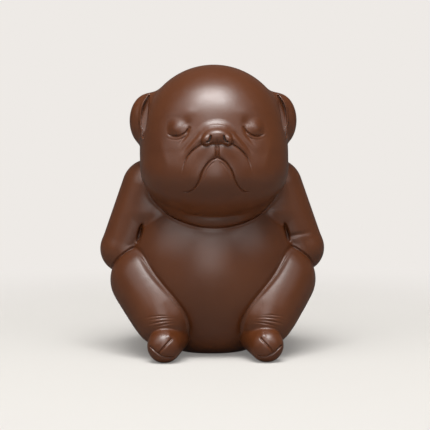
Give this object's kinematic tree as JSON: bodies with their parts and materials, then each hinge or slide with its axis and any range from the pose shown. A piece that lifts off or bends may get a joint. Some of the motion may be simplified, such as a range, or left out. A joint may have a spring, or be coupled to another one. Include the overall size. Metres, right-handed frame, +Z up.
{
  "type": "tea pet figurine",
  "caption": "Seated pug-like dog figurine in brown clay, hollow and hand built, with closed eyes, a round belly and arms folded behind its back; stands on a tea tray.",
  "frame": {"origin": "middle of the flat base, on the table", "axes": "+Z up; the face looks along -Y; the dog's own left is +X"},
  "size_m": [0.0624, 0.0595, 0.0797],
  "materials": {
    "brown_clay": "satin, rubbed smooth",
    "base_clay": "matte, unpolished"
  },
  "bodies": {
    "root": {"base_disc": "base_clay", "torso_front": "brown_clay", "torso_back": "brown_clay", "neck_roll": "brown_clay", "face_shell": "brown_clay", "skull_shell": "brown_clay", "left_ear": "brown_clay", "right_ear": "brown_clay", "left_eyelid": "brown_clay", "right_eyelid": "brown_clay", "nose": "brown_clay", "left_muzzle_pad": "brown_clay", "right_muzzle_pad": "brown_clay", "chin_pad": "brown_clay", "left_upper_arm": "brown_clay", "right_upper_arm": "brown_clay", "left_forearm": "brown_clay", "right_forearm": "brown_clay", "left_leg": "brown_clay", "right_leg": "brown_clay", "left_foot": "brown_clay", "right_foot": "brown_clay", "tail": "brown_clay"}
  },
  "joints": []
}
